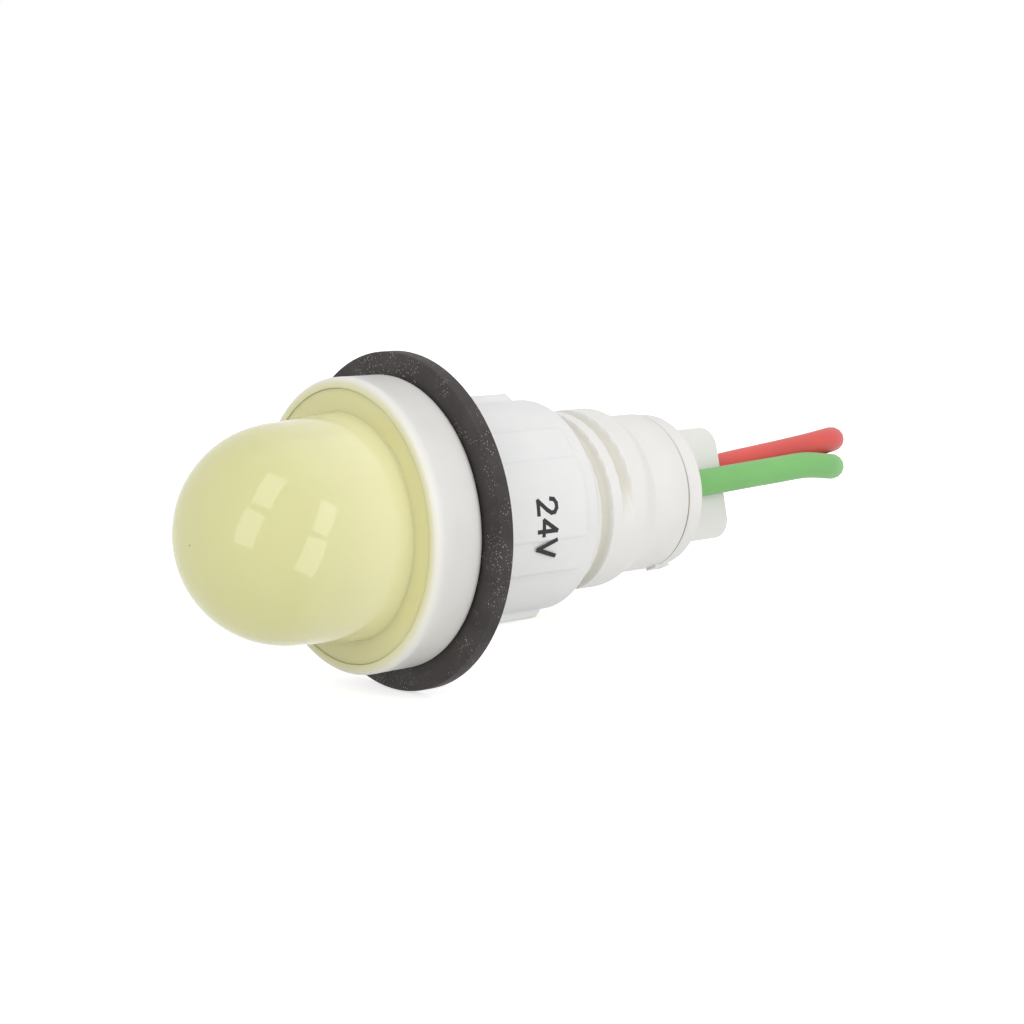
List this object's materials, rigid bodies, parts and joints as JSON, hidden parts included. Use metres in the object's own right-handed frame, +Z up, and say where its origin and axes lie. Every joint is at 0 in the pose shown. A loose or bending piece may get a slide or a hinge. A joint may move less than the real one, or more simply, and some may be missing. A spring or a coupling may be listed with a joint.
{
  "type": "panel pilot light",
  "caption": "Panel pilot light with a pale yellow domed lens, white threaded housing, black gasket, ribbed nut and two wire leads",
  "frame": {"origin": "on the lamp's axis at the panel seat, the rear face of the gasket", "axes": "the lamp's axis is Y with the lens facing -Y and the leads leaving towards +Y; +Z is up"},
  "size_m": [0.0742, 0.1, 0.0348],
  "materials": {
    "lens_plastic": "smooth, milky, lets light through",
    "white_plastic": "moulded, slightly warm white",
    "nut_plastic": "moulded, cool white",
    "gasket_rubber": "matte, dusty",
    "board_laminate": "green solder mask",
    "led_resin": "diffused resin",
    "resistor_coat": "lacquered",
    "diode_epoxy": "moulded epoxy",
    "tinned_wire": "tinned copper",
    "solder": "soft bright solder",
    "green_insulation": "soft PVC",
    "red_insulation": "soft PVC",
    "marking_ink": "printed black rating"
  },
  "bodies": {
    "lamp": {"lens": "lens_plastic", "housing": "white_plastic", "gasket": "gasket_rubber", "rear_cap": "white_plastic", "circuit_board": "board_laminate", "led_1": "led_resin", "led_2": "led_resin", "led_3": "led_resin", "led_4": "led_resin", "led_legs": "tinned_wire", "resistor_1": "resistor_coat", "resistor_2": "resistor_coat", "protection_diode": "diode_epoxy", "component_legs": "tinned_wire", "solder_joints": "solder", "green_lead_inner": "green_insulation", "red_lead_inner": "red_insulation", "inner_cores": "tinned_wire", "green_lead": "green_insulation", "red_lead": "red_insulation", "green_coil": "green_insulation", "red_coil": "red_insulation", "green_bare_end": "tinned_wire", "red_bare_end": "tinned_wire"},
    "nut": {"panel_nut": "nut_plastic"}
  },
  "joints": [
    {"name": "nut_travel", "type": "slide", "parent": "lamp", "child": "nut", "axis": [0, 1, 0], "range_m": [-0.0018, 0.02]}
  ]
}
